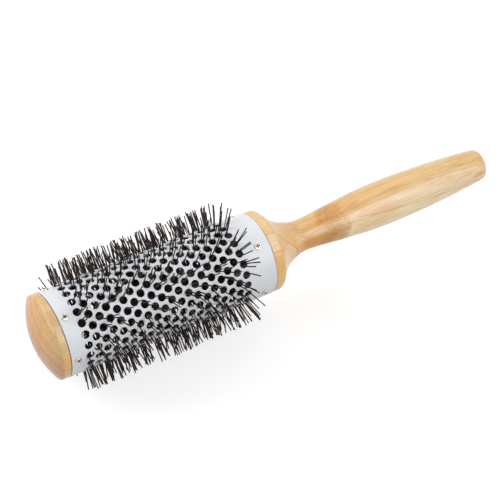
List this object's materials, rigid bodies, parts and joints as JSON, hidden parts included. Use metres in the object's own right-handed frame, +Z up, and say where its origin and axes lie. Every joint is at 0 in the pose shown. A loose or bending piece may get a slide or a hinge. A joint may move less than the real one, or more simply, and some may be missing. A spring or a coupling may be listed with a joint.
{
  "type": "round barrel hair brush",
  "caption": "Round blow-drying brush: vented aluminium barrel with nylon bristles, a bamboo end cap and a turned bamboo handle.",
  "frame": {"origin": "centre of the handle's flat butt end", "axes": "+X along the brush's axis, out of the butt, so that the barrel and bristles lie towards -X; +Z up with the brush level"},
  "size_m": [0.2654, 0.0655, 0.0657],
  "materials": {
    "bamboo": "satin lacquer over laminated bamboo strips",
    "enamel": "satin pale grey coating on a perforated aluminium tube",
    "screw_nickel": "bright nickel-plated steel",
    "core_steel": "drawn steel wire",
    "nylon": "extruded nylon filament, slightly glossy, brown-black"
  },
  "bodies": {
    "root": {"handle": "bamboo", "end_cap": "bamboo", "barrel": "enamel", "cap_screw_1": "screw_nickel", "cap_screw_2": "screw_nickel", "cap_screw_3": "screw_nickel", "cap_screw_4": "screw_nickel", "cap_screw_5": "screw_nickel", "cap_screw_6": "screw_nickel", "handle_screw_1": "screw_nickel", "handle_screw_2": "screw_nickel", "handle_screw_3": "screw_nickel", "handle_screw_4": "screw_nickel", "handle_screw_5": "screw_nickel", "core_wire_a": "core_steel", "core_wire_b": "core_steel", "bristles_1": "nylon", "bristles_2": "nylon", "bristles_3": "nylon", "bristles_4": "nylon"}
  },
  "joints": []
}
